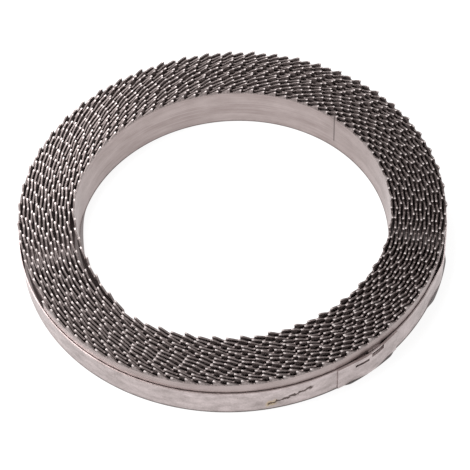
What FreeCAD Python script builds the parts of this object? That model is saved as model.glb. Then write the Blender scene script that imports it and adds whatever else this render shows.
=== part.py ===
import FreeCAD, Part
import Sketcher
import math
import os

# A coil of toothed band saw blade stock, lying flat with its teeth up, and the
# steel strap that binds it.
# Millimetres. +Z is up and the coil lies on Z = 0. The origin is under the centre
# of the strap's circle. Angles are in degrees, counter-clockwise from +X seen from
# above, so the photograph looks along +Y and -90 is the near side.

Vec = FreeCAD.Vector
UP = Vec(0, 0, 1)

os.makedirs("parts", exist_ok=True)
doc = FreeCAD.newDocument("band_saw_blade_coil")

# Driving dimensions
DIMENSIONS = {
    # the coil, measured to the faces of its outermost and innermost turns
    "coil_outer_radius": 112.4,
    "coil_inner_radius": 83.5,
    "eye_shift": 2.4,
    "outer_end_angle": -150,
    "inner_end_angle": -120,
    "whole_turns": 14,
    # degrees over which each turn steps inward past the strip's end
    "step_reach": 40,
    # the stretch where the innermost turns hang loose of the pack
    "slack_angle": 200,
    "slack_reach": 36,
    "slack_depth": 3,
    "slack_follow": 1.5,
    "slack_turns": 6,
    # the blade strip
    "blade_width": 25,
    "blade_gauge": 0.9,
    "tooth_pitch": 6.75,
    "tooth_depth": 3.3,
    "rake_run": 0.9,
    "teeth_per_facet": 3,
    # the binding strap, its stand-off bulge and the kink at its lock
    "strap_width": 16,
    "strap_gauge": 0.6,
    "strap_clearance": 0.25,
    "bulge_angle": -22,
    "bulge_half_angle": 10,
    "bulge_bend_radius": 30,
    "lock_angle": -56,
    "lock_half_angle": 9,
    "lock_bend_radius": 45,
    # the lapped end and its keys
    "lap_start_angle": -66,
    "key_angle": -54.2,
    "key_length": 8,
    "key_depth": 3.2,
    "tongue_height": 1.2,
    "slot_angle": -59,
    "slot_length": 8,
    "slot_drop": 2.8,
    "slot_height": 1.8,
    "key_reach": 20,
}

# how often each facet's step along the spiral is corrected to its exact length
STEP_TRIALS = 6

sheet = doc.addObject("Spreadsheet::Sheet", "Dimensions")
for row, (alias, value) in enumerate(DIMENSIONS.items(), start=1):
    sheet.set("A%d" % row, alias)
    sheet.set("B%d" % row, str(value))
    sheet.setAlias("B%d" % row, alias)
doc.recompute()


def size(alias):
    """One driving dimension, read from the sheet."""
    return float(sheet.get(alias))


def polar(radius, angle, height=0.0):
    """The point at a radius and an angle in degrees round the origin."""
    turn = math.radians(angle)
    return Vec(radius * math.cos(turn), radius * math.sin(turn), height)


# The coil's route
# The strip is followed from its outer end inward, counter-clockwise seen from above.
# Each turn is nearly a circle and steps inward where it comes round to the strip's
# end, so that the outermost and innermost turns are round. The turns' centres drift
# towards the near side, so that the pack is thinner there.
def total_sweep():
    """Degrees that the strip turns through from its outer end to its inner end."""
    return 360 * size("whole_turns") + size("inner_end_angle") - size("outer_end_angle")


def steps_made(turns):
    """How many pitches a strip has stepped across after so many turns from its end."""
    reach = size("step_reach") / 360
    whole = math.floor(turns)
    eased = max(0.0, (turns - whole - 1 + reach) / reach)
    return whole + eased * eased * (3 - 2 * eased)


def share_inward(sweep):
    """How far across the pack the strip is, 0 at its outermost turn, 1 at its innermost."""
    outside = steps_made(sweep / 360)
    half_step = size("step_reach") / 2
    inside = max(0.0, steps_made((total_sweep() - sweep - half_step) / 360))
    return outside / (outside + inside)


def slack(sweep):
    """How far the centre line hangs inward of the spiral, at a sweep in degrees."""
    angle = size("outer_end_angle") + sweep
    turns_in = (total_sweep() - sweep) / 360
    off_centre = (angle - size("slack_angle") + 180) % 360 - 180
    if abs(off_centre) >= size("slack_reach"):
        return 0.0
    if turns_in < 1:
        depth = size("slack_depth")
    else:
        depth = size("slack_follow") * max(0.0, 1 - turns_in / size("slack_turns"))
    return depth * math.cos(math.radians(90 * off_centre / size("slack_reach"))) ** 2


def centre_line(sweep):
    """The point of the strip's centre line at a sweep in degrees from its outer end."""
    share = share_inward(sweep)
    outermost = size("coil_outer_radius") - size("blade_gauge") / 2
    innermost = size("coil_inner_radius") + size("blade_gauge") / 2
    radius = outermost + share * (innermost - outermost) - slack(sweep)
    drift = Vec(0, -size("eye_shift") * share, 0)
    return polar(radius, size("outer_end_angle") + sweep) + drift


def facet_corners():
    """Points of the centre line a whole number of teeth apart, in straight runs."""
    run = size("tooth_pitch") * size("teeth_per_facet")
    corners = [centre_line(0)]
    sweep = 0.0
    while True:
        start = corners[-1]
        step = math.degrees(run / start.Length)
        for _ in range(STEP_TRIALS):
            step *= run / (centre_line(sweep + step) - start).Length
        sweep += step
        if sweep > total_sweep():
            return corners
        corners.append(centre_line(sweep))


# The blade strip
def flat_face(points):
    """A flat face bounded by straight edges through the points."""
    return Part.Face(Part.makePolygon(points + points[:1]))


def side_directions(corners):
    """At each corner, the way to the strip's outer face, long enough to mitre."""
    runs = [(b - a).normalize() for a, b in zip(corners, corners[1:])]
    outward = [run.cross(UP) for run in runs]
    mitres = [outward[0]]
    for before, after in zip(outward, outward[1:]):
        mitres.append((before + after) / (1 + before.dot(after)))
    mitres.append(outward[-1])
    return outward, mitres


def tooth_stations(teeth):
    """(teeth from the facet's start, height) of each gullet and tip along a facet."""
    tip = size("blade_width")
    gullet = tip - size("tooth_depth")
    rake = size("rake_run") / size("tooth_pitch")
    stations = [(0.0, gullet)]
    for tooth in range(teeth):
        stations.append((tooth + rake, tip))
        stations.append((tooth + 1.0, gullet))
    return stations


def facet_faces(start, end, normal, start_mitre, end_mitre):
    """The faces of one straight facet of the strip, its teeth included."""
    half_gauge = size("blade_gauge") / 2
    teeth = int(size("teeth_per_facet"))
    outer = []
    inner = []
    for place, height in tooth_stations(teeth):
        foot = start + (end - start) * (place / teeth) + UP * height
        aside = normal
        if place == 0:
            aside = start_mitre
        if place == teeth:
            aside = end_mitre
        outer.append(foot + aside * half_gauge)
        inner.append(foot - aside * half_gauge)
    back = [Vec(p.x, p.y, 0) for p in (outer[0], outer[-1], inner[-1], inner[0])]
    faces = [
        flat_face(back),
        flat_face([back[0], back[1]] + outer[::-1]),
        flat_face([back[3], back[2]] + inner[::-1]),
    ]
    last = len(outer) - 2
    for i in range(last + 1):
        quad = [outer[i], outer[i + 1], inner[i + 1], inner[i]]
        if i in (0, last):
            # a tooth face that runs into a mitred corner is two flat triangles
            faces.append(flat_face([quad[0], quad[1], quad[2]]))
            faces.append(flat_face([quad[0], quad[2], quad[3]]))
        else:
            faces.append(flat_face(quad))
    return faces


def end_face(corner, mitre):
    """The cut end of the strip, from its back to the gullet."""
    half = mitre * (size("blade_gauge") / 2)
    rise = UP * (size("blade_width") - size("tooth_depth"))
    return flat_face([corner + half, corner - half, corner - half + rise, corner + half + rise])


def make_blade_coil():
    """The whole blade as one solid: every turn of the strip with its teeth."""
    corners = facet_corners()
    outward, mitres = side_directions(corners)
    faces = [end_face(corners[0], mitres[0]), end_face(corners[-1], mitres[-1])]
    for i, normal in enumerate(outward):
        faces += facet_faces(corners[i], corners[i + 1], normal, mitres[i], mitres[i + 1])
    shell = Part.Shell(faces)
    shell.sewShape()
    solid = Part.Solid(shell)
    if solid.Volume < 0:
        solid.reverse()
    feature = doc.addObject("Part::Feature", "BladeCoil")
    feature.Label = "blade_coil"
    feature.Shape = solid
    feature.Placement = FreeCAD.Placement()
    return feature


# The binding strap
# Its plan is a circle round the coil with two places where it stands off: tangent
# runs that meet in a rounded bend, one at the bulge and one at the lock.
def arc(centre, radius, start, end):
    """An arc counter-clockwise between two angles in degrees."""
    circle = Part.Circle(centre, UP, radius)
    return Part.ArcOfCircle(circle, math.radians(start), math.radians(end))


def stand_off(radius, angle, half_angle, bend):
    """The two tangent runs and the bend of a place where the strap stands off."""
    before = angle - half_angle
    after = angle + half_angle
    centre = polar((radius - bend) / math.cos(math.radians(half_angle)), angle)
    return [
        Part.LineSegment(polar(radius, before), centre + polar(bend, before)),
        arc(centre, bend, before, after),
        Part.LineSegment(centre + polar(bend, after), polar(radius, after)),
    ]


def lock_run(offset):
    """The strap's line through the lock, offset outward from its inner face."""
    bend = size("lock_bend_radius") + offset
    return stand_off(strap_radius() + offset, size("lock_angle"), size("lock_half_angle"), bend)


def bulge_run(offset):
    """The strap's line through the bulge, offset outward from its inner face."""
    bend = size("bulge_bend_radius") + offset
    return stand_off(strap_radius() + offset, size("bulge_angle"), size("bulge_half_angle"), bend)


def strap_radius():
    """Radius of the strap's inner face where it hugs the coil."""
    return size("coil_outer_radius") + size("strap_clearance")


def strap_loop(offset):
    """The strap's whole closed line, offset outward from its inner face."""
    radius = strap_radius() + offset
    lock_end = size("lock_angle") + size("lock_half_angle")
    lock_start = size("lock_angle") - size("lock_half_angle")
    bulge_start = size("bulge_angle") - size("bulge_half_angle")
    bulge_end = size("bulge_angle") + size("bulge_half_angle")
    between = arc(Vec(), radius, lock_end, bulge_start)
    around = arc(Vec(), radius, bulge_end, lock_start + 360)
    return lock_run(offset) + [between] + bulge_run(offset) + [around]


def lap_loop():
    """The lapped end's section: from its free edge to the end of the lock's kink."""
    gauge = size("strap_gauge")
    free_end = size("lap_start_angle")
    lock_start = size("lock_angle") - size("lock_half_angle")
    inner = [arc(Vec(), strap_radius() + gauge, free_end, lock_start)] + lock_run(gauge)
    outer = [arc(Vec(), strap_radius() + 2 * gauge, free_end, lock_start)] + lock_run(2 * gauge)
    far_step = Part.LineSegment(inner[-1].EndPoint, outer[-1].EndPoint)
    near_step = Part.LineSegment(inner[0].StartPoint, outer[0].StartPoint)
    return inner + [far_step] + outer + [near_step]


def sketch_of(name, curves):
    """A sketch on the ground plane that holds the curves."""
    sketch = doc.addObject("Sketcher::SketchObject", name)
    sketch.addGeometry(curves, False)
    return sketch


def band_of(name, sketch):
    """A strap layer: its section raised to the strap's width."""
    band = doc.addObject("Part::Extrusion", name)
    band.Base = sketch
    band.DirMode = "Custom"
    band.Dir = UP
    band.Solid = True
    band.setExpression("LengthFwd", "Dimensions.strap_width")
    return band


def key_block(name, key, bottom, height):
    """A block across the strap at the lock, which cuts one key; sizes are formulas."""
    block = doc.addObject("Part::Box", name)
    block.setExpression("Length", "Dimensions.%s_length" % key)
    block.setExpression("Width", "Dimensions.key_reach")
    block.setExpression("Height", height)
    doc.recompute()
    # the block's width points outward along the key's radius
    turned = FreeCAD.Rotation(UP, size(key + "_angle") - 90)
    corner = Vec(-block.Length.Value / 2, strap_radius() - block.Width.Value / 2, 0)
    block.Placement = FreeCAD.Placement(turned.multVec(corner), turned)
    block.setExpression("Placement.Base.z", bottom)
    return block


def cut_from(name, base, tool):
    """The base with the tool taken out of it."""
    cut = doc.addObject("Part::Cut", name)
    cut.Base = base
    cut.Tool = tool
    cut.Refine = True
    return cut


def make_binding_strap():
    """The strap as one band, closed by its lapped end, with the lock's keys cut in it."""
    ring_section = sketch_of("RingSection", strap_loop(0) + strap_loop(size("strap_gauge")))
    lap_section = sketch_of("LapSection", lap_loop())
    ring = band_of("StrapRing", ring_section)
    lap = band_of("StrapLap", lap_section)
    # the notch is open at the top edge and goes through the lapped layer only
    notch_bottom = "Dimensions.strap_width - Dimensions.key_depth"
    notch = key_block("KeyNotch", "key", notch_bottom, "Dimensions.key_depth")
    notched_lap = cut_from("NotchedLap", lap, notch)
    band = doc.addObject("Part::Fuse", "ClosedBand")
    band.Base = ring
    band.Tool = notched_lap
    band.Refine = True
    # the window leaves a tongue of the inner layer standing in the notch
    window_height = "Dimensions.key_depth - Dimensions.tongue_height"
    window = key_block("KeyWindow", "key", notch_bottom, window_height)
    slot_bottom = "Dimensions.strap_width - Dimensions.slot_drop - Dimensions.slot_height"
    slot = key_block("KeySlot", "slot", slot_bottom, "Dimensions.slot_height")
    keys = doc.addObject("Part::MultiFuse", "Keys")
    keys.Shapes = [window, slot]
    strap = cut_from("BindingStrap", band, keys)
    strap.Label = "binding_strap"
    return strap


def check(features):
    """Stop if any object failed or any piece isn't one valid solid."""
    for item in doc.Objects:
        if "Invalid" in item.State or "Error" in item.State:
            raise RuntimeError("%s failed: %s" % (item.Label, item.State))
    for feature in features:
        shape = feature.Shape
        if shape.isNull() or not shape.isValid() or len(shape.Solids) != 1:
            raise RuntimeError("%s isn't one valid solid" % feature.Label)


pieces = [make_blade_coil(), make_binding_strap()]
doc.recompute()
check(pieces)
for piece in pieces:
    piece.Shape.exportStep("parts/%s.step" % piece.Label)
    box = piece.Shape.BoundBox
    print("%-14s volume %9.1f  box %s" % (piece.Label, piece.Shape.Volume, box))
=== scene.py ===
# %% [markdown]
# A strapped coil of toothed band saw blade, lying flat with its teeth up.
# The solid model gives every size and place. This script dresses it: it models the
# blade again with rounded gullets and set teeth, gives the steel its finish, and
# lights and frames it as in the photograph.

# %% Load the frame
import math
import random

import bpy
from mathutils import Matrix, Vector


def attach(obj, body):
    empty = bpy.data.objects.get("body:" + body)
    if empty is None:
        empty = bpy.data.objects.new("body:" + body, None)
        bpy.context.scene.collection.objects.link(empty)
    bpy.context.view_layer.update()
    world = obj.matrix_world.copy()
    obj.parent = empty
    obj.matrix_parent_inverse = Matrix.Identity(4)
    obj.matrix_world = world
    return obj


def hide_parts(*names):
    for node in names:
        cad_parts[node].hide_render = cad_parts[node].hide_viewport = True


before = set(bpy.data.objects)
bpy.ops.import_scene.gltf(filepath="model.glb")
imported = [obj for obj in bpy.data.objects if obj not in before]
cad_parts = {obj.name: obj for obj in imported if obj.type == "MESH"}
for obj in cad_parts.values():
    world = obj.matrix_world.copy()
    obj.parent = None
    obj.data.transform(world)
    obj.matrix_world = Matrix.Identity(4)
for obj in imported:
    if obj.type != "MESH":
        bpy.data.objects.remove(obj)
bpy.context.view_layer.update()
print("nodes", sorted(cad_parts))

# %% [markdown]
# The blade winds inward from its outer end, counter-clockwise seen from above. Each
# turn is nearly a circle and steps inward where it comes round to the strip's end,
# and the turns' centres drift towards the near side. The strip hangs a little loose
# of the pack at one place. These are the solid's own sizes, in metres and degrees,
# written as one formula that the blade is bent along later.

# %% Sizes of the coil
MM = 0.001
OUTER_RADIUS = 112.4 * MM
INNER_RADIUS = 83.5 * MM
EYE_SHIFT = 2.4 * MM
EYE_MIDDLE = (0, -EYE_SHIFT, 0)
OUTER_END = -150.0
INNER_END = -120.0
SWEEP = 14 * 360 + INNER_END - OUTER_END
STEP_REACH = 40.0
SLACK_ANGLE = 200.0
SLACK_REACH = 36.0
SLACK_DEPTH = 3.0 * MM
SLACK_FOLLOW = 1.5 * MM
SLACK_TURNS = 6

# %% [markdown]
# Band saw blade is sold by its width, its gauge and its teeth to the inch. The solid
# follows the coil in short straight runs. This script bends the same strip smoothly,
# so it works the strip's length out from those runs.

# %% Sizes of the blade strip
BLADE_WIDTH = 25 * MM
BLADE_GAUGE = 0.9 * MM
TOOTH_DEPTH = 2.8 * MM
# the solid's strip is a row of straight runs of three teeth; they cut inside the
# curve, so the same strip is a little longer along it
STRAIGHT_RUNS = 426
STRAIGHT_RUN = 3 * 6.75 * MM
MEAN_RADIUS = (OUTER_RADIUS + INNER_RADIUS) / 2
STRIP_LENGTH = STRAIGHT_RUNS * STRAIGHT_RUN * (1 + (STRAIGHT_RUN / MEAN_RADIUS) ** 2 / 24)
# the photograph's teeth are two in a hundred finer than the solid's
TEETH = 1305
TOOTH_PITCH = STRIP_LENGTH / TEETH


def slack(sweep):
    """How far the strip hangs inward of the spiral, at a sweep in degrees."""
    turns_in = (SWEEP - sweep) / 360
    off_centre = (OUTER_END + sweep - SLACK_ANGLE + 180) % 360 - 180
    if abs(off_centre) >= SLACK_REACH:
        return 0.0
    depth = SLACK_DEPTH
    if turns_in >= 1:
        depth = SLACK_FOLLOW * max(0.0, 1 - turns_in / SLACK_TURNS)
    return depth * math.cos(math.radians(90 * off_centre / SLACK_REACH)) ** 2


def steps_made(turns):
    """How many pitches a strip has stepped across after so many turns from its end."""
    reach = STEP_REACH / 360
    whole = math.floor(turns)
    eased = max(0.0, (turns - whole - 1 + reach) / reach)
    return whole + eased * eased * (3 - 2 * eased)


def share_inward(sweep):
    """How far across the pack the strip is, 0 at its outermost turn, 1 at its innermost."""
    outside = steps_made(sweep / 360)
    inside = max(0.0, steps_made((SWEEP - sweep - STEP_REACH / 2) / 360))
    return outside / (outside + inside)


def centre_line(sweep):
    """The point of the strip's centre line at a sweep in degrees from its outer end."""
    share = share_inward(sweep)
    outermost = OUTER_RADIUS - BLADE_GAUGE / 2
    innermost = INNER_RADIUS + BLADE_GAUGE / 2
    radius = outermost + share * (innermost - outermost) - slack(sweep)
    turn = math.radians(OUTER_END + sweep)
    return Vector((radius * math.cos(turn), radius * math.sin(turn) - EYE_SHIFT * share, 0))


# %% [markdown]
# A Curve modifier bends a straight strip along a curve object, so the spiral is made
# as one: a plain poly spline with points close enough together to look round.

# %% The spiral as a curve
STEP = 1.0
route = [centre_line(min(SWEEP, STEP * i)) for i in range(math.ceil(SWEEP / STEP) + 1)]
route_length = sum((b - a).length for a, b in zip(route, route[1:]))
spiral_data = bpy.data.curves.new("spiral_route", "CURVE")
spiral_data.dimensions = "2D"
spline = spiral_data.splines.new("POLY")
spline.points.add(len(route) - 1)
for point, place in zip(spline.points, route):
    point.co = (*place, 1)
spiral = bpy.data.objects.new("spiral_route", spiral_data)
bpy.context.collection.objects.link(spiral)
print("route", round(route_length, 4), "m, strip", round(TEETH * TOOTH_PITCH, 4), "m")

# %% [markdown]
# Small helpers for edit mode. Operators act on what is selected, so everything is
# deselected first and then vertices are picked by their place.

# %% Helpers for edit mode
# two places nearer to each other than this count as one
TOUCH = 0.01 * MM


def deselect_all():
    """Nothing selected, in object mode."""
    if bpy.context.object and bpy.context.object.mode != "OBJECT":
        bpy.ops.object.mode_set(mode="OBJECT")
    bpy.ops.object.select_all(action="DESELECT")


def make_active(piece):
    """The piece alone is selected and active."""
    deselect_all()
    piece.select_set(True)
    bpy.context.view_layer.objects.active = piece


def pick(piece, wanted):
    """In edit mode with only the vertices selected for which wanted(place) is true."""
    bpy.ops.object.mode_set(mode="OBJECT")
    for part in (piece.data.vertices, piece.data.edges, piece.data.polygons):
        part.foreach_set("select", [False] * len(part))
    for vertex in piece.data.vertices:
        vertex.select = wanted(vertex.co)
    bpy.ops.object.mode_set(mode="EDIT")
    bpy.ops.mesh.select_mode(type="VERT")


def apply_modifiers(piece):
    """Applies every modifier of the piece, in order."""
    make_active(piece)
    for modifier in list(piece.modifiers):
        bpy.ops.object.modifier_apply(modifier=modifier.name)


# %% [markdown]
# One tooth comes first. A hook tooth has a steep front, the rake face, that leans
# into the cut, a straight sloping back, and a round gullet that clears the chips.
# The outline below is one pitch long and starts at the bottom of a gullet: each pair
# is the share of the pitch along the strip and the height below the tip as a share
# of the tooth's depth.

# %% The outline of one tooth
TOOTH_OUTLINE = [
    (0.00, 1.00),
    (0.06, 0.97),
    (0.105, 0.86),
    (0.130, 0.66),
    (0.125, 0.35),
    (0.105, 0.00),
    (0.20, 0.05),
    (0.45, 0.31),
    (0.70, 0.63),
    (0.87, 0.90),
    (1.00, 1.00),
]
GULLET_HEIGHT = BLADE_WIDTH - TOOTH_DEPTH
# a row of vertices a little below the gullets divides the plain band from the teeth
BEND_DROP = 1.2 * MM
BEND_HEIGHT = GULLET_HEIGHT - BEND_DROP


def make_tooth_sheet():
    """One pitch of the strip as a flat sheet, its upper edge cut to the outline."""
    deselect_all()
    bpy.ops.mesh.primitive_plane_add(size=1, location=(0, 0, 0))
    sheet = bpy.context.object
    sheet.name = "toothed_blade"
    sheet.scale = (TOOTH_PITCH, BEND_HEIGHT, 1)
    sheet.rotation_euler = (math.radians(90), 0, 0)
    sheet.location = (TOOTH_PITCH / 2, 0, BEND_HEIGHT / 2)
    bpy.ops.object.transform_apply(location=True, rotation=True, scale=True)
    top = BEND_HEIGHT - TOUCH
    pick(sheet, lambda place: place.z > top)
    rise = BLADE_WIDTH - BEND_HEIGHT
    bpy.ops.mesh.extrude_region_move(TRANSFORM_OT_translate={"value": (0, 0, rise)})
    top = BLADE_WIDTH - TOUCH
    pick(sheet, lambda place: place.z > top)
    bpy.ops.mesh.subdivide(number_cuts=len(TOOTH_OUTLINE) - 2)
    bpy.ops.object.mode_set(mode="OBJECT")
    upper = sorted((v for v in sheet.data.vertices if v.co.z > top), key=lambda v: v.co.x)
    for vertex, (along, drop) in zip(upper, TOOTH_OUTLINE):
        vertex.co.x = along * TOOTH_PITCH
        vertex.co.z = BLADE_WIDTH - drop * TOOTH_DEPTH
    return sheet


blade = make_tooth_sheet()
print("one tooth", len(blade.data.polygons), "faces", len(blade.data.vertices), "vertices")

# %% [markdown]
# A saw cuts wider than its own body because its teeth are set: one leans out and the
# next leans in. The tooth is repeated along the strip's whole length and then leaned,
# each by its own amount, since no two teeth come out of the setting press alike. A
# real blade is spaced evenly. Here the spacing wanders slowly, only to put the teeth
# of neighbouring turns out of step, as they are in the photograph.

# %% The row of set teeth
SET_OUT = 0.5 * MM
SET_SPREAD = 0.5
SEED = 4
WANDER = 2.4 * MM
SLOW_WANDERS = 10.5
QUICK_WANDERS = 17
QUICK_SHARE = 0.6


def repeat_along(piece, count, pitch):
    """Copies of the piece in a row, welded end to end."""
    row = piece.modifiers.new("row", "ARRAY")
    row.use_relative_offset = False
    row.use_constant_offset = True
    row.constant_offset_displace = (pitch, 0, 0)
    row.count = count
    row.use_merge_vertices = True
    row.merge_threshold = TOUCH
    apply_modifiers(piece)


def lean_teeth(sheet):
    """Leans every tooth out or in by turns, its gullets staying in line."""
    chance = random.Random(SEED)
    leans = []
    for number in range(TEETH):
        side = 1 if number % 2 else -1
        leans.append(side * SET_OUT * (1 + SET_SPREAD * (chance.random() - 0.5)))
    for vertex in sheet.data.vertices:
        number = min(TEETH - 1, int(vertex.co.x / TOOTH_PITCH))
        along = vertex.co.x - number * TOOTH_PITCH
        if TOUCH < along < TOOTH_PITCH - TOUCH and vertex.co.z > BEND_HEIGHT + TOUCH:
            rise = (vertex.co.z - GULLET_HEIGHT) / TOOTH_DEPTH
            vertex.co.y += leans[number] * rise


def let_spacing_wander(sheet):
    """Shifts the teeth slowly to and fro along the strip, which keeps both its ends."""
    for vertex in sheet.data.vertices:
        share = vertex.co.x / STRIP_LENGTH
        slow = math.sin(2 * math.pi * SLOW_WANDERS * share)
        quick = math.sin(2 * math.pi * QUICK_WANDERS * share)
        vertex.co.x += WANDER * (slow + QUICK_SHARE * quick)


repeat_along(blade, TEETH, TOOTH_PITCH)
lean_teeth(blade)
let_spacing_wander(blade)
print("row of", TEETH, "teeth,", len(blade.data.polygons), "faces")

# %% [markdown]
# The whole blade: the sheet gets its thickness, its edges are eased a little so that
# they catch the light, and the strip is bent along the spiral. A leaned tooth that is
# thickened rises a little, so the tips are trimmed back to the blade's width. Applying
# the modifiers leaves a plain mesh in place.

# %% The whole blade
EDGE_EASE = 0.07 * MM
EASED_FROM = 50.0
SMOOTH_BELOW = 35.0


def thicken(piece, gauge):
    """Turns a sheet into a plate with the sheet in its middle."""
    plate = piece.modifiers.new("plate", "SOLIDIFY")
    plate.thickness = gauge
    plate.offset = 0
    apply_modifiers(piece)


def ease_edges(piece, width):
    """A narrow chamfer along every sharp edge."""
    ease = piece.modifiers.new("ease", "BEVEL")
    ease.width = width
    ease.segments = 1
    ease.limit_method = "ANGLE"
    ease.angle_limit = math.radians(EASED_FROM)
    ease.use_clamp_overlap = True
    apply_modifiers(piece)


def trim_tips(piece, height):
    """Keeps the leaned and thickened tips from rising past the blade's width."""
    for vertex in piece.data.vertices:
        vertex.co.z = min(vertex.co.z, height)


def lay_out_strip(piece):
    """A UV map that follows the strip, and a mark on its milled edge faces."""
    piece.data.attributes.new("milled", "FLOAT", "CORNER")
    piece.data.uv_layers.new(name="strip")
    layer = piece.data.uv_layers["strip"]
    milled = piece.data.attributes["milled"]
    for face in piece.data.polygons:
        across_edge = abs(face.normal.y) < 0.5
        for index in face.loop_indices:
            place = piece.data.vertices[piece.data.loops[index].vertex_index].co
            layer.data[index].uv = (place.x, place.z)
            milled.data[index].value = float(across_edge)


def wind_up(piece, curve):
    """Bends the straight strip along the curve."""
    wind = piece.modifiers.new("wind", "CURVE")
    wind.object = curve
    wind.deform_axis = "POS_X"
    apply_modifiers(piece)


thicken(blade, BLADE_GAUGE)
ease_edges(blade, EDGE_EASE)
trim_tips(blade, BLADE_WIDTH)
lay_out_strip(blade)
wind_up(blade, spiral)
bpy.data.objects.remove(spiral)
make_active(blade)
bpy.ops.object.shade_smooth_by_angle(angle=math.radians(SMOOTH_BELOW))
triangles = sum(len(face.vertices) - 2 for face in blade.data.polygons)
low = Vector([min(v.co[axis] for v in blade.data.vertices) for axis in range(3)])
high = Vector([max(v.co[axis] for v in blade.data.vertices) for axis in range(3)])
print("blade", triangles, "triangles, box", [round(c / MM, 2) for c in (*low, *high)])


# %% [markdown]
# Shader maths reads better as Python. This small class wraps a node's output socket,
# and adds a Math node for each operator. Any other node comes from one method that
# takes its type, its settings and its inputs.

# %% Shader sockets as values
class Val:
    """A number, colour or vector on its way through a material's nodes."""

    def __init__(self, tree, socket):
        self.tree = tree
        self.socket = socket

    def node(self, kind, output=0, settings=None, **inputs):
        """A new node of that kind; returns one of its outputs."""
        made = self.tree.nodes.new(kind)
        for name, value in (settings or {}).items():
            setattr(made, name, value)
        for name, value in inputs.items():
            key = int(name[1:]) if name[1:].isdigit() else name.replace("_", " ")
            plug(self.tree, made.inputs[key], value)
        return Val(self.tree, made.outputs[output])

    def math(self, operation, *values):
        """One Math node."""
        made = self.tree.nodes.new("ShaderNodeMath")
        made.operation = operation
        for socket, value in zip(made.inputs, values):
            plug(self.tree, socket, value)
        return Val(self.tree, made.outputs[0])

    def __add__(self, other):
        return self.math("ADD", self, other)

    def __radd__(self, other):
        return self.math("ADD", other, self)

    def __sub__(self, other):
        return self.math("SUBTRACT", self, other)

    def __rsub__(self, other):
        return self.math("SUBTRACT", other, self)

    def __mul__(self, other):
        return self.math("MULTIPLY", self, other)

    def __rmul__(self, other):
        return self.math("MULTIPLY", other, self)

    def __truediv__(self, other):
        return self.math("DIVIDE", self, other)

    def clamp(self):
        """Kept between 0 and 1."""
        made = self.math("ADD", self, 0)
        made.socket.node.use_clamp = True
        return made

    def ramp(self, low, high):
        """0 below low, 1 above high and smooth between; falls where low is above high."""
        made = self.tree.nodes.new("ShaderNodeMapRange")
        made.interpolation_type = "SMOOTHSTEP"
        values = (self, low, high, 0.0, 1.0)
        if low > high:
            values = (self, high, low, 1.0, 0.0)
        for socket, value in zip(made.inputs, values):
            plug(self.tree, socket, value)
        return Val(self.tree, made.outputs[0])


def plug(tree, socket, value):
    """Links a value to a socket, or sets the socket to a plain number or colour."""
    if isinstance(value, Val):
        tree.links.new(value.socket, socket)
    else:
        socket.default_value = value


def blend_colours(share, under, over):
    """The under colour where share is 0, the over colour where it is 1."""
    made = share.tree.nodes.new("ShaderNodeMix")
    made.data_type = "RGBA"
    plug(share.tree, made.inputs[0], share)
    plug(share.tree, made.inputs[6], under)
    plug(share.tree, made.inputs[7], over)
    return Val(share.tree, made.outputs[2])


def noise(place, scale, detail=3.0, roughness=0.55):
    """A soft noise between 0 and 1 at a place."""
    settings = {"noise_dimensions": "3D"}
    inputs = {"Vector": place, "Scale": scale, "Detail": detail, "Roughness": roughness}
    return place.node("ShaderNodeTexNoise", 0, settings, **inputs)


def stretched(place, x, y, z):
    """The place with each of its axes multiplied, which squeezes a pattern along it."""
    settings = {"operation": "MULTIPLY"}
    return place.node("ShaderNodeVectorMath", 0, settings, i0=place, i1=(x, y, z))


def new_material(name):
    """An empty material, its tree and its Principled shader."""
    material = bpy.data.materials.new(name)
    material.use_nodes = True
    tree = material.node_tree
    shader = next(node for node in tree.nodes if node.type == "BSDF_PRINCIPLED")
    return material, tree, shader


def axis_of(place, axis):
    """One of a place's three numbers: 0 for x, 1 for y, 2 for z."""
    return place.node("ShaderNodeSeparateXYZ", axis, None, Vector=place)


def length_of(place):
    """How far a place lies from the middle."""
    return place.node("ShaderNodeVectorMath", 1, {"operation": "LENGTH"}, i0=place)


def along_way(place, way):
    """How far a place lies along a direction."""
    settings = {"operation": "DOT_PRODUCT"}
    return place.node("ShaderNodeVectorMath", 1, settings, i0=place, i1=way)


def source(tree, kind, output, **settings):
    """The output of an input node, such as Texture Coordinate."""
    made = tree.nodes.new(kind)
    for name, value in settings.items():
        setattr(made, name, value)
    return Val(tree, made.outputs[output])


def bumped(tree, shader, height, distance, strength=1.0):
    """Feeds a height to the shader's normal as bump."""
    made = tree.nodes.new("ShaderNodeBump")
    made.inputs["Strength"].default_value = strength
    made.inputs["Distance"].default_value = distance
    plug(tree, made.inputs["Height"], height)
    tree.links.new(made.outputs["Normal"], shader.inputs["Normal"])


# %% Outputs of the input nodes
UV_PLACE = 0
OBJECT_PLACE = 3
ATTRIBUTE_NUMBER = 2
CAMERA_RAY = 0
GLOSSY_RAY = 3
TRANSMISSION_RAY = 6

# %% [markdown]
# Blade steel is cold-rolled strip: a pinkish grey with fine lines along its length,
# pale up to the tips of its teeth. The milled faces between the teeth are darker as
# painted shade, patches of grime and painted shade lie among them, and each tip has a
# painted glint. The pattern follows the strip's own UV map, so its lines run round
# the coil on every turn. One thin dark upright line on the inner side follows the
# photograph, which doesn't show what it is.

# %% Blade steel
STEEL_ROSE = (0.27, 0.215, 0.205, 1)
STEEL_PALE = (0.50, 0.425, 0.415, 1)
# painted shade on the milled edge faces among the teeth
MILLED_PAINTED_SHADE = (0.17, 0.14, 0.135, 1)
# a painted glint on the tips of the teeth
TIP_PAINTED_GLINT = (0.52, 0.46, 0.45, 1)
# grime and painted shade: the dark patches among the teeth
GRIME_AND_PAINTED_SHADE = (0.085, 0.068, 0.064, 1)
MARK_ANGLE = 44.0
MARK_CORE = 0.2 * MM
MARK_EDGE = 0.5 * MM
TIP_HEIGHT = 0.55 * MM
LINE_DEPTH = 0.02 * MM


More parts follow.
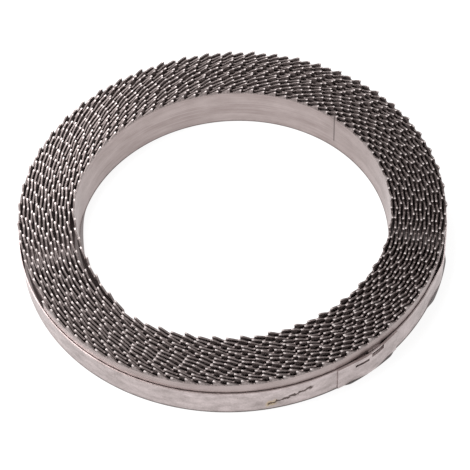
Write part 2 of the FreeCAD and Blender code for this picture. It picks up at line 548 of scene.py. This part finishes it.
def cosine_toward(place, angle):
    """1 where the place lies at that angle round the middle, 0 a quarter turn off."""
    toward = (math.cos(math.radians(angle)), math.sin(math.radians(angle)), 0)
    flat = stretched(place, 1, 1, 0)
    return along_way(flat, toward) / length_of(flat)


def upright_mark(place):
    """1 on the thin dark upright line that the innermost turn shows on its inner side."""
    turn = math.radians(MARK_ANGLE)
    settings = {"operation": "SUBTRACT"}
    outward = place.node("ShaderNodeVectorMath", 0, settings, i0=place, i1=EYE_MIDDLE)
    off_line = along_way(outward, (-math.sin(turn), math.cos(turn), 0))
    reach = along_way(outward, (math.cos(turn), math.sin(turn), 0))
    near_line = off_line.math("ABSOLUTE", off_line).ramp(MARK_EDGE, MARK_CORE)
    innermost = reach.ramp(INNER_RADIUS + 1.4 * MM, INNER_RADIUS + 1.1 * MM)
    this_side = reach.ramp(0, 10 * MM)
    return near_line * innermost * this_side * axis_of(place, 2).ramp(4 * MM, 6 * MM)


def blade_steel():
    """Brushed strip steel, with painted shade on its milled edge and a painted glint at its tips."""
    material, tree, shader = new_material("blade_steel")
    strip = source(tree, "ShaderNodeUVMap", UV_PLACE, uv_map="strip")
    place = source(tree, "ShaderNodeTexCoord", OBJECT_PLACE)
    height = axis_of(strip, 1)
    milled = source(tree, "ShaderNodeAttribute", ATTRIBUTE_NUMBER, attribute_name="milled")
    lines = noise(stretched(strip, 20, 2400, 1), 1.0, 4.0, 0.7)
    broad = noise(stretched(strip, 9, 160, 1), 1.0, 3.0)
    patches = noise(stretched(strip, 60, 130, 1), 1.0, 4.0, 0.6)
    toothed = height.ramp(GULLET_HEIGHT - 0.4 * MM, GULLET_HEIGHT + 0.5 * MM)
    tip = height.ramp(BLADE_WIDTH - TIP_HEIGHT, BLADE_WIDTH - 0.3 * TIP_HEIGHT)
    tone = 0.52 + 1.6 * (lines - 0.5) + 0.8 * (broad - 0.5) + 1.1 * (patches - 0.5)
    steel = blend_colours(tone.clamp(), STEEL_ROSE, STEEL_PALE)
    # patches of grime and painted shade across the toothed band and its milled faces
    grime_and_shade = noise(place, 1100.0, 3.0, 0.65).ramp(0.62, 0.38)
    steel = blend_colours(toothed * grime_and_shade * 0.65, steel, GRIME_AND_PAINTED_SHADE)
    # the milled edge faces are darkened as painted shade among the teeth
    colour = blend_colours(milled * 0.85, steel, MILLED_PAINTED_SHADE)
    colour = blend_colours(milled * grime_and_shade * 0.45, colour, GRIME_AND_PAINTED_SHADE)
    colour = blend_colours(upright_mark(place) * 0.8, colour, GRIME_AND_PAINTED_SHADE)
    # the top of each tooth is painted bright, a painted glint
    colour = blend_colours(tip, colour, TIP_PAINTED_GLINT)
    plug(tree, shader.inputs["Base Color"], colour)
    plug(tree, shader.inputs["Roughness"], (0.30 + 0.16 * lines + 0.08 * milled).clamp())
    plug(tree, shader.inputs["Metallic"], 1.0 - 0.35 * toothed)
    bumped(tree, shader, lines + 0.6 * broad, LINE_DEPTH, 0.5)
    print("blade steel,", len(tree.nodes), "nodes")
    return material


# %% [markdown]
# The strap is plain packing strap steel: satin grey with soft stains. Rust has crept
# along one stretch of it as a dark ragged line with a yellowish bloom, and a few
# specks lie further round.

# %% Strap steel
STRAP_GREY = (0.32, 0.27, 0.262, 1)
STRAP_PALE = (0.60, 0.52, 0.515, 1)
STAIN_BROWN = (0.07, 0.045, 0.038, 1)
STAIN_YELLOW = (0.52, 0.40, 0.25, 1)
STAIN_FROM = -84.5
STAIN_TO = -72.0
STAIN_LOW = 4.0 * MM
STAIN_HIGH = 11.0 * MM


def strap_steel():
    """Satin strap steel with a ragged rust line and specks."""
    material, tree, shader = new_material("strap_steel")
    place = source(tree, "ShaderNodeTexCoord", OBJECT_PLACE)
    x, y, z = (axis_of(place, axis) for axis in range(3))
    angle = y.math("ARCTAN2", y, x) * math.degrees(1)
    blotch = noise(place, 45.0, 4.0)
    soft = noise(stretched(place, 1, 1, 2.2), 130.0, 3.0)
    fine = noise(stretched(place, 1, 1, 9), 900.0, 3.0, 0.6)
    ragged = noise(place, 420.0, 5.0, 0.7)
    spotted = noise(place, 1100.0, 3.0, 0.6)
    tone = 0.6 + 1.2 * (blotch - 0.5) + 1.6 * (soft - 0.5) + 1.0 * (spotted - 0.5)
    steel = blend_colours(tone.clamp(), STRAP_GREY, STRAP_PALE)
    share = (angle - STAIN_FROM) / (STAIN_TO - STAIN_FROM)
    inside = share.ramp(0.0, 0.04) * share.ramp(1.0, 0.9)
    middle = STAIN_LOW + share * (STAIN_HIGH - STAIN_LOW) + (ragged - 0.5) * (7 * MM)
    off_line = y.math("ABSOLUTE", z - middle)
    line = off_line.ramp(1.3 * MM, 0.3 * MM) * inside
    bloom = off_line.ramp(3.2 * MM, 0.8 * MM) * share.ramp(-0.05, 0.02) * share.ramp(0.25, 0.12)
    specks = noise(place, 700.0, 2.0).ramp(0.71, 0.76) * noise(place, 30.0, 1.0).ramp(0.5, 0.6)
    colour = blend_colours(bloom * 0.8, steel, STAIN_YELLOW)
    colour = blend_colours((line + specks).clamp() * 0.9, colour, STAIN_BROWN)
    plug(tree, shader.inputs["Base Color"], colour)
    plug(tree, shader.inputs["Roughness"], (0.30 + 0.14 * fine + 0.10 * blotch + 0.3 * line).clamp())
    shader.inputs["Metallic"].default_value = 1.0
    bumped(tree, shader, fine, LINE_DEPTH, 0.4)
    print("strap steel,", len(tree.nodes), "nodes")
    return material


def dress(piece, material):
    """The piece wears one material."""
    piece.data.materials.clear()
    piece.data.materials.append(material)


# %% [markdown]
# The new blade rides on the part's one body and takes the place of the coil's solid.
# The strap keeps its solid shape and gets its steel.

# %% Dress the two pieces
dress(blade, blade_steel())
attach(blade, "root")
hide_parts("blade_coil")
dress(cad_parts["binding_strap"], strap_steel())

# %% [markdown]
# The photograph looks down on the coil at about 51 degrees from 0.7 m away, with a
# long lens and the camera tipped a few degrees sideways. These values were worked
# out from the outlines of the coil and its eye.

# %% Camera
VIEW_HEIGHT = 51.46
VIEW_DISTANCE = 0.7262
VIEW_RIGHT = 0.001036
VIEW_UP = -0.002579
VIEW_ROLL = 3.838
LENS = 103.13
SENSOR_WIDTH = 36
CLIP_NEAR = 0.01
CLIP_FAR = 20

elevation = math.radians(VIEW_HEIGHT)
roll = math.radians(VIEW_ROLL)
ahead = Vector((0, math.cos(elevation), -math.sin(elevation)))
level = Vector((1, 0, 0))
upright = Vector((0, math.sin(elevation), math.cos(elevation)))
right = level * math.cos(roll) - upright * math.sin(roll)
up = level * math.sin(roll) + upright * math.cos(roll)
camera_data = bpy.data.cameras.new("camera")
camera_data.lens = LENS
camera_data.sensor_width = SENSOR_WIDTH
camera_data.clip_start = CLIP_NEAR
camera_data.clip_end = CLIP_FAR
camera = bpy.data.objects.new("camera", camera_data)
bpy.context.collection.objects.link(camera)
turned = Matrix((right, up, -ahead)).transposed().to_4x4()
eye_point = level * VIEW_RIGHT + upright * VIEW_UP - ahead * VIEW_DISTANCE
camera.matrix_world = Matrix.Translation(eye_point) @ turned
bpy.context.scene.camera = camera
print("camera", round(VIEW_DISTANCE, 3), "m away, lens", LENS, "mm")

# %% [markdown]
# A plain white floor that reads as white to the camera and in reflections but keeps
# a soft shadow. Its own white stops under the coil, so that the gaps between the turns
# stay dark, apart from a faint painted glow under them at the left and right, where the
# gaps in the photograph are less dark. The world is white to look at or to mirror and
# lights the object at a plain level. A soft lamp at the upper left picks out the
# sloping backs of the teeth on that side, which are pale in the photograph.

# %% Floor and light
FLOOR_SIZE = 6.0
FLOOR_GLOW = 0.84
FLOOR_GREY = (0.25, 0.25, 0.25, 1)
FLOOR_WHITE = (1, 1, 1, 1)
UNLIT = (0, 0, 0, 1)
UNDER_OUTER = 113.4 * MM
UNDER_INNER = 83.4 * MM
UNDER_DIP = 3.2 * MM
UNDER_LIFT = 1.2 * MM
LOCK_ANGLE = -56.0
BULGE_ANGLE = -22.0
STRAY_LEFT = 0.3
STRAY_RIGHT = 0.07
STRAY_TINT = (1.0, 0.84, 0.82, 1)
STRAY_FROM = 60 * MM
STRAY_FULL = 100 * MM
SKY_LIGHT = 0.5


def looked_at(tree):
    """1 where the camera, a mirror or a clear piece looks, 0 for light on the object."""
    seen = source(tree, "ShaderNodeLightPath", CAMERA_RAY)
    mirrored = source(tree, "ShaderNodeLightPath", GLOSSY_RAY)
    through = source(tree, "ShaderNodeLightPath", TRANSMISSION_RAY)
    return (seen + mirrored + through).clamp()


def add_floor():
    """A wide white floor that catches the soft shadow."""
    deselect_all()
    bpy.ops.mesh.primitive_plane_add(size=FLOOR_SIZE, location=(0, 0, 0))
    floor = bpy.context.object
    floor.name = "floor"
    material, tree, shader = new_material("floor_white")
    shader.inputs["Base Color"].default_value = FLOOR_GREY
    shader.inputs["Roughness"].default_value = 0.9
    shader.inputs["Specular IOR Level"].default_value = 0.0
    place = source(tree, "ShaderNodeTexCoord", OBJECT_PLACE)
    settings = {"operation": "DISTANCE"}
    from_eye = place.node("ShaderNodeVectorMath", 1, settings, i0=place, i1=EYE_MIDDLE)
    dip = cosine_toward(place, SLACK_ANGLE).ramp(0.80, 1.0) * UNDER_DIP
    lift = cosine_toward(place, LOCK_ANGLE).ramp(0.9877, 0.9945) * UNDER_LIFT
    lift = lift + cosine_toward(place, BULGE_ANGLE).ramp(0.9848, 0.9945) * UNDER_LIFT
    around = (length_of(place) - lift).ramp(UNDER_OUTER, UNDER_OUTER + 0.2 * MM)
    within = (from_eye + dip).ramp(UNDER_INNER, UNDER_INNER - 0.4 * MM)
    beside = axis_of(place, 0)
    # a painted glow on the floor under the coil, seen through the gaps at the left and right
    stray_left = beside.ramp(-STRAY_FROM, -STRAY_FULL) * STRAY_LEFT
    stray_right = beside.ramp(STRAY_FROM, STRAY_FULL) * STRAY_RIGHT
    open_floor = (around + within).clamp()
    share = (open_floor + stray_left + stray_right).clamp()
    glow = blend_colours(open_floor, STRAY_TINT, FLOOR_WHITE)
    glow = blend_colours(share, UNLIT, glow)
    plug(tree, shader.inputs["Emission Color"], glow)
    plug(tree, shader.inputs["Emission Strength"], looked_at(tree) * FLOOR_GLOW)
    dress(floor, material)
    return floor


def add_world():
    """A white surround to look at or to mirror, which lights the object at a plain level."""
    world = bpy.data.worlds.new("studio")
    bpy.context.scene.world = world
    world.use_nodes = True
    tree = world.node_tree
    ground = next(node for node in tree.nodes if node.type == "BACKGROUND")
    shown = looked_at(tree)
    plug(tree, ground.inputs["Strength"], shown + (1 - shown) * SKY_LIGHT)
    ground.inputs["Color"].default_value = (1, 1, 1, 1)


def add_lamp(name, place, width, power):
    """A soft square lamp that points at the coil."""
    data = bpy.data.lights.new(name, "AREA")
    data.shape = "SQUARE"
    data.size = width
    data.energy = power
    lamp = bpy.data.objects.new(name, data)
    lamp.location = place
    lamp.rotation_mode = "QUATERNION"
    lamp.rotation_quaternion = (-Vector(place)).to_track_quat("-Z", "Y")
    bpy.context.collection.objects.link(lamp)
    print("lamp", name, power, "W")
    return lamp


add_floor()
add_world()
add_lamp("key", (-0.55, 0.10, 1.10), 0.8, 15.0)
add_lamp("rim", (0.0, 0.80, 1.05), 0.8, 5.0)
bpy.context.scene.view_settings.view_transform = "Standard"
